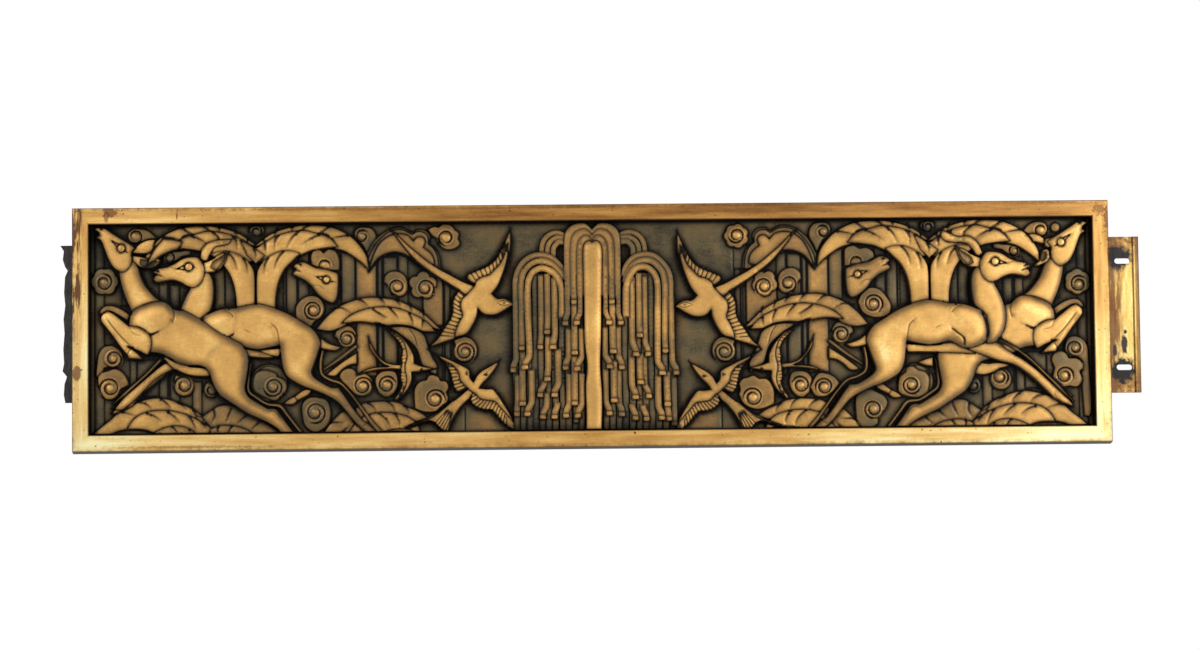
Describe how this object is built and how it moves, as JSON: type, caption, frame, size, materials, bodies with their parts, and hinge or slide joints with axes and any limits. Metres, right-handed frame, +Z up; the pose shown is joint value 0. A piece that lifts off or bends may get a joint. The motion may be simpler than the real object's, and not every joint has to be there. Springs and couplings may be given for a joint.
{
  "type": "frieze panel",
  "caption": "Long cast bronze frieze panel: leaping antelopes, swallows, palm fronds, cloud scrolls and a fountain in relief, in a flat raised frame with fixing lugs.",
  "frame": {"origin": "middle of the panel's flat back", "axes": "+X along the panel's length to the right as seen from the front, +Y out of the back towards the wall, +Z up; the relief faces -Y"},
  "size_m": [1.906, 0.04, 0.432],
  "materials": {
    "relief_bronze": "gilded and rubbed high relief over a dark grey-brown patinated ground, black in the hollows",
    "frame_bronze": "worn pale gold, satin, with brown streaks and stains and dark edges",
    "lug_bronze": "golden brown, streaky, with black oxide around the slots",
    "black_bronze": "black, rough, broken off ragged"
  },
  "bodies": {
    "root": {"relief_panel": "relief_bronze", "frame": "frame_bronze", "lug_right": "lug_bronze", "lug_left": "black_bronze"}
  },
  "joints": []
}
